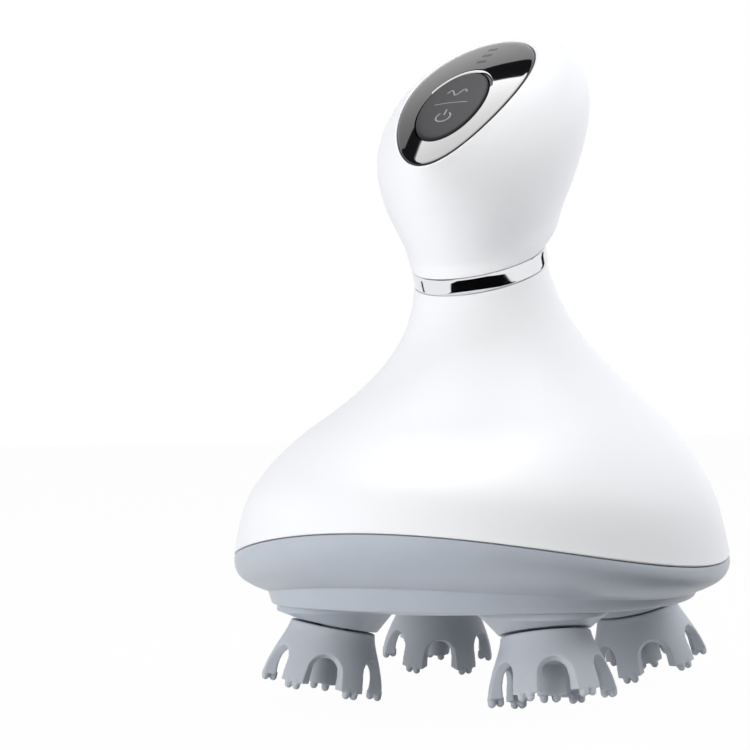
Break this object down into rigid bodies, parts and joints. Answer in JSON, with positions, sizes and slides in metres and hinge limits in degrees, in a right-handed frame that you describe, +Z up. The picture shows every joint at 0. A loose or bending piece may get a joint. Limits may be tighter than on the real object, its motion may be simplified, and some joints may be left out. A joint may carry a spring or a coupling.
{
  "type": "electric scalp massager",
  "caption": "Handheld rechargeable scalp massager: bell-shaped body with a tilted knob handle, an oval button panel and splayed gear-driven kneading heads with removable claws",
  "frame": {"origin": "on the surface that the massager stands on, under the middle of the body", "axes": "+Z up; -Y to the front, where the control panel faces; +X to the right as seen from the front"},
  "size_m": [0.108, 0.114, 0.1488],
  "materials": {
    "pearl_white": "pearly gloss",
    "trim_chrome": "polished",
    "panel_black": "high gloss",
    "button_dark": "soft matte",
    "seal_rubber": "matte",
    "lens_clear": "translucent",
    "circuit_board": "solder mask",
    "switch_black": "moulded",
    "steel": "zinc plated",
    "base_grey": "satin",
    "contact_brass": "gold plated",
    "plate_grey": "moulded",
    "bush_brass": "sintered",
    "gear_acetal": "moulded",
    "bracket_steel": "pressed",
    "motor_can": "drawn can",
    "cell_wrap": "wrapped",
    "wire_red": "insulated",
    "hub_grey": "moulded",
    "claw_silicone": "soft satin"
  },
  "bodies": {
    "housing": {"bell_housing": "pearl_white", "knob_housing": "pearl_white", "trim_ring": "trim_chrome", "control_panel": "panel_black", "panel_seal": "seal_rubber", "indicator_lenses": "lens_clear", "control_board": "circuit_board", "tact_switches": "switch_black", "board_screws": "steel", "neck_screws": "steel", "base_chassis": "base_grey", "base_gasket": "seal_rubber", "base_screws": "steel", "charging_contacts": "contact_brass", "gear_plate": "plate_grey", "plate_screws": "steel", "drive_bushes": "bush_brass", "reduction_axles": "steel", "motor_bracket": "bracket_steel", "bracket_screws": "steel", "motor": "motor_can", "battery_cell": "cell_wrap", "battery_cradle": "switch_black", "main_board": "circuit_board", "wiring": "wire_red", "front_left_seal": "seal_rubber", "front_right_seal": "seal_rubber", "back_left_seal": "seal_rubber", "back_right_seal": "seal_rubber", "front_left_lower_bush": "bush_brass", "front_right_lower_bush": "bush_brass", "back_left_lower_bush": "bush_brass", "back_right_lower_bush": "bush_brass", "front_left_upper_bush": "bush_brass", "front_right_upper_bush": "bush_brass", "back_left_upper_bush": "bush_brass", "back_right_upper_bush": "bush_brass"},
    "button": {"control_button": "button_dark"},
    "drive": {"drive_shaft": "steel", "drive_gear": "gear_acetal", "output_wheel": "gear_acetal"},
    "first_reduction": {"first_reduction_gear": "gear_acetal"},
    "second_reduction": {"second_reduction_gear": "gear_acetal"},
    "pinion": {"motor_pinion": "steel"},
    "front_left_head": {"front_left_shaft": "steel", "front_left_gear": "gear_acetal", "front_left_hub": "hub_grey"},
    "front_left_claw": {"front_left_claw": "claw_silicone"},
    "front_right_head": {"front_right_shaft": "steel", "front_right_gear": "gear_acetal", "front_right_hub": "hub_grey"},
    "front_right_claw": {"front_right_claw": "claw_silicone"},
    "back_left_head": {"back_left_shaft": "steel", "back_left_gear": "gear_acetal", "back_left_hub": "hub_grey"},
    "back_left_claw": {"back_left_claw": "claw_silicone"},
    "back_right_head": {"back_right_shaft": "steel", "back_right_gear": "gear_acetal", "back_right_hub": "hub_grey"},
    "back_right_claw": {"back_right_claw": "claw_silicone"}
  },
  "joints": [
    {"name": "button_rock", "type": "hinge", "parent": "housing", "child": "button", "pos_m": [0, -0.00724, 0.12523], "axis": [1, 0, 0], "range_deg": [-2.1, 2.1], "stiffness_Nm_per_rad": 0.05},
    {"name": "drive_turn", "type": "hinge", "parent": "housing", "child": "drive", "pos_m": [0, 0, 0.03], "axis": [0, 0, 1], "continuous": true},
    {"name": "second_reduction_turn", "type": "hinge", "parent": "housing", "child": "second_reduction", "pos_m": [0.00737, 0.01248, 0.046], "axis": [0, 0, 1], "continuous": true},
    {"name": "first_reduction_turn", "type": "hinge", "parent": "housing", "child": "first_reduction", "pos_m": [-0.00737, 0.01248, 0.05], "axis": [0, 0, 1], "continuous": true},
    {"name": "pinion_turn", "type": "hinge", "parent": "housing", "child": "pinion", "pos_m": [0, 0, 0.052], "axis": [0, 0, 1], "continuous": true},
    {"name": "front_left_head_turn", "type": "hinge", "parent": "housing", "child": "front_left_head", "pos_m": [-0.0252, -0.0252, 0.01658], "axis": [0.1615, 0.1615, 0.9736], "continuous": true},
    {"name": "front_right_head_turn", "type": "hinge", "parent": "housing", "child": "front_right_head", "pos_m": [0.0252, -0.0252, 0.01658], "axis": [-0.1615, 0.1615, 0.9736], "continuous": true},
    {"name": "back_left_head_turn", "type": "hinge", "parent": "housing", "child": "back_left_head", "pos_m": [-0.0252, 0.0252, 0.01658], "axis": [0.1615, -0.1615, 0.9736], "continuous": true},
    {"name": "back_right_head_turn", "type": "hinge", "parent": "housing", "child": "back_right_head", "pos_m": [0.0252, 0.0252, 0.01658], "axis": [-0.1615, -0.1615, 0.9736], "continuous": true},
    {"name": "front_left_claw_pull", "type": "slide", "parent": "front_left_head", "child": "front_left_claw", "axis": [-0.1615, -0.1615, -0.9736], "range_m": [0, 0.012]},
    {"name": "front_right_claw_pull", "type": "slide", "parent": "front_right_head", "child": "front_right_claw", "axis": [0.1615, -0.1615, -0.9736], "range_m": [0, 0.012]},
    {"name": "back_left_claw_pull", "type": "slide", "parent": "back_left_head", "child": "back_left_claw", "axis": [-0.1615, 0.1615, -0.9736], "range_m": [0, 0.012]},
    {"name": "back_right_claw_pull", "type": "slide", "parent": "back_right_head", "child": "back_right_claw", "axis": [0.1615, 0.1615, -0.9736], "range_m": [0, 0.012]}
  ],
  "couplings": [
    {"joint": "second_reduction_turn", "follows": "drive_turn", "ratio": -3.4615},
    {"joint": "first_reduction_turn", "follows": "drive_turn", "ratio": 12.249},
    {"joint": "pinion_turn", "follows": "drive_turn", "ratio": -46.953},
    {"joint": "front_left_head_turn", "follows": "drive_turn", "ratio": -1.5},
    {"joint": "front_right_head_turn", "follows": "drive_turn", "ratio": -1.5},
    {"joint": "back_left_head_turn", "follows": "drive_turn", "ratio": -1.5},
    {"joint": "back_right_head_turn", "follows": "drive_turn", "ratio": -1.5}
  ]
}
